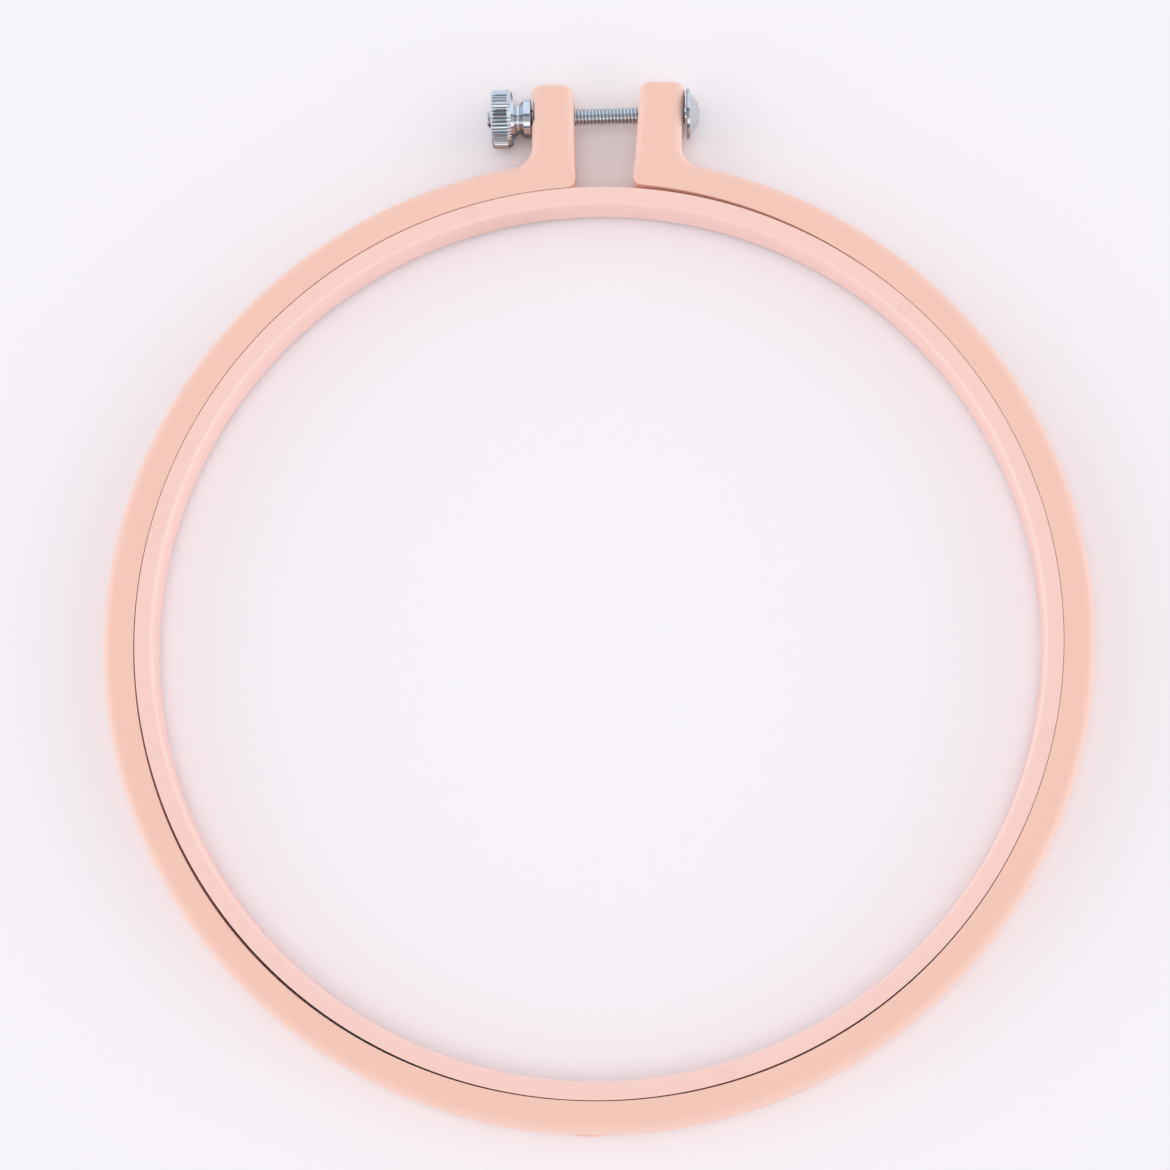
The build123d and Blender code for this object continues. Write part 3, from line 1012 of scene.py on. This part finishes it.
def light_scene(context):
    """Soft boxes on the left and the right, a weak key, and a surround that metal sees as bands.

    For plain surfaces the surround's strength is sides x^2 + a fall from zenith to horizon.
    """
    sides, zenith, horizon, mirrored = 1.68, 0.345, 0.495, 1.6
    world = bpy.data.worlds.new("surround")
    context.scene.world = world
    world.use_nodes = True
    tree = world.node_tree
    tree.nodes.clear()
    way = add_node(tree, "ShaderNodeTexCoord").outputs["Generated"]
    parts = add_node(tree, "ShaderNodeSeparateXYZ", Vector=way).outputs
    bend = add_node(tree, "ShaderNodeMath", {"operation": "ARCTAN2"}, i0=parts["Y"], i1=parts["Z"])
    turn = add_node(tree, "ShaderNodeMapRange", Value=bend.outputs[0], From_Min=-pi / 2, From_Max=pi / 2)
    bands = add_node(tree, "ShaderNodeValToRGB", Fac=turn.outputs[0])
    ramp = bands.color_ramp
    # From the near horizon, over the top, to the far horizon: a room with a low soft box
    stops = [
        (0.0, "#625F68"),
        (0.13, "#625F68"),
        (0.16, "#FFFFFF"),
        (0.26, "#FFFFFF"),
        (0.3, "#9A9CA2"),
        (0.46, "#A4A6AA"),
        (0.48, "#46585C"),
        (0.525, "#46585C"),
        (0.56, "#CDDEEE"),
        (1.0, "#D6E4F0"),
    ]
    while len(ramp.elements) < len(stops):
        ramp.elements.new(0.5)
    for element, (position, hex_code) in zip(ramp.elements, stops):
        element.position = position
        element.color = (*linear(hex_code), 1.0)
    side = add_node(tree, "ShaderNodeMath", {"operation": "MULTIPLY"}, i0=parts["X"], i1=parts["X"])
    metal_sees = add_node(
        tree,
        "ShaderNodeMix",
        {"data_type": "RGBA"},
        Factor=side.outputs[0],
        i6=bands.outputs["Color"],
        i7=(*linear("#E4E8F2"), 1.0),
    )
    height = add_node(tree, "ShaderNodeMapRange", Value=parts["Z"], To_Min=horizon, To_Max=zenith)
    lamps = add_node(
        tree,
        "ShaderNodeMath",
        {"operation": "MULTIPLY_ADD"},
        i0=side.outputs[0],
        i1=sides,
        i2=height.outputs["Result"],
    )
    path = add_node(tree, "ShaderNodeLightPath").outputs
    white, ground = (*linear("#FDFCFE"), 1.0), (*context.scene.hoop_colours.ground, 1.0)
    plain, banded, seen = (
        add_node(tree, "ShaderNodeBackground", Color=tint, Strength=strength).outputs[0]
        for tint, strength in (
            (white, lamps.outputs[0]),
            (metal_sees.outputs["Result"], mirrored),
            (ground, 1.0),
        )
    )
    first = add_node(tree, "ShaderNodeMixShader", i0=path["Is Glossy Ray"], i1=plain, i2=banded)
    last = add_node(
        tree, "ShaderNodeMixShader", i0=path["Is Camera Ray"], i1=first.outputs[0], i2=seen
    )
    add_node(tree, "ShaderNodeOutputWorld", Surface=last.outputs[0])

    key = bpy.data.lights.new("key", "SUN")
    key.energy = 0.59
    key.angle = radians(40)
    key.color = linear("#FFFCFA")
    lamp = bpy.data.objects.new("key", key)
    lamp.rotation_euler = (radians(10), 0, 0)
    lamp.visible_glossy = False
    context.scene.collection.objects.link(lamp)


class HOOP_PT_panel(bpy.types.Panel):
    """Sizes, colours and the steps that build the hoop"""

    bl_idname = "HOOP_PT_panel"
    bl_label = "Embroidery hoop"
    bl_space_type = "VIEW_3D"
    bl_region_type = "UI"
    bl_category = "Hoop"

    def draw(self, context):
        for operator in STEPS:
            self.layout.operator(operator.bl_idname)
        for group_name in GROUPS:
            group, box = getattr(context.scene, group_name), self.layout.box()
            for name in group.__annotations__:
                box.prop(group, name)


STEPS = (
    HOOP_OT_outer_ring,
    HOOP_OT_inner_ring,
    HOOP_OT_clamp_screw,
    HOOP_OT_thumb_nut,
    HOOP_OT_stage,
)
GROUPS = {"hoop_sizes": HoopSizes, "hardware_sizes": HardwareSizes, "hoop_colours": HoopColours}


def register():
    """Make the groups, the steps and the panel known to the program."""
    for item in (*GROUPS.values(), *STEPS, HOOP_PT_panel):
        bpy.utils.register_class(item)
    for name, group in GROUPS.items():
        setattr(bpy.types.Scene, name, bpy.props.PointerProperty(type=group))


def unregister():
    """Take them out again, in the reverse order."""
    for name in GROUPS:
        delattr(bpy.types.Scene, name)
    for item in reversed((*GROUPS.values(), *STEPS, HOOP_PT_panel)):
        bpy.utils.unregister_class(item)


def build():
    """Register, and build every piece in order."""
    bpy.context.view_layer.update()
    register()
    bpy.ops.hoop.outer_ring()
    bpy.ops.hoop.inner_ring()
    bpy.ops.hoop.clamp_screw()
    bpy.ops.hoop.thumb_nut()
    bpy.ops.hoop.stage()


if __name__ == "__main__":
    build()
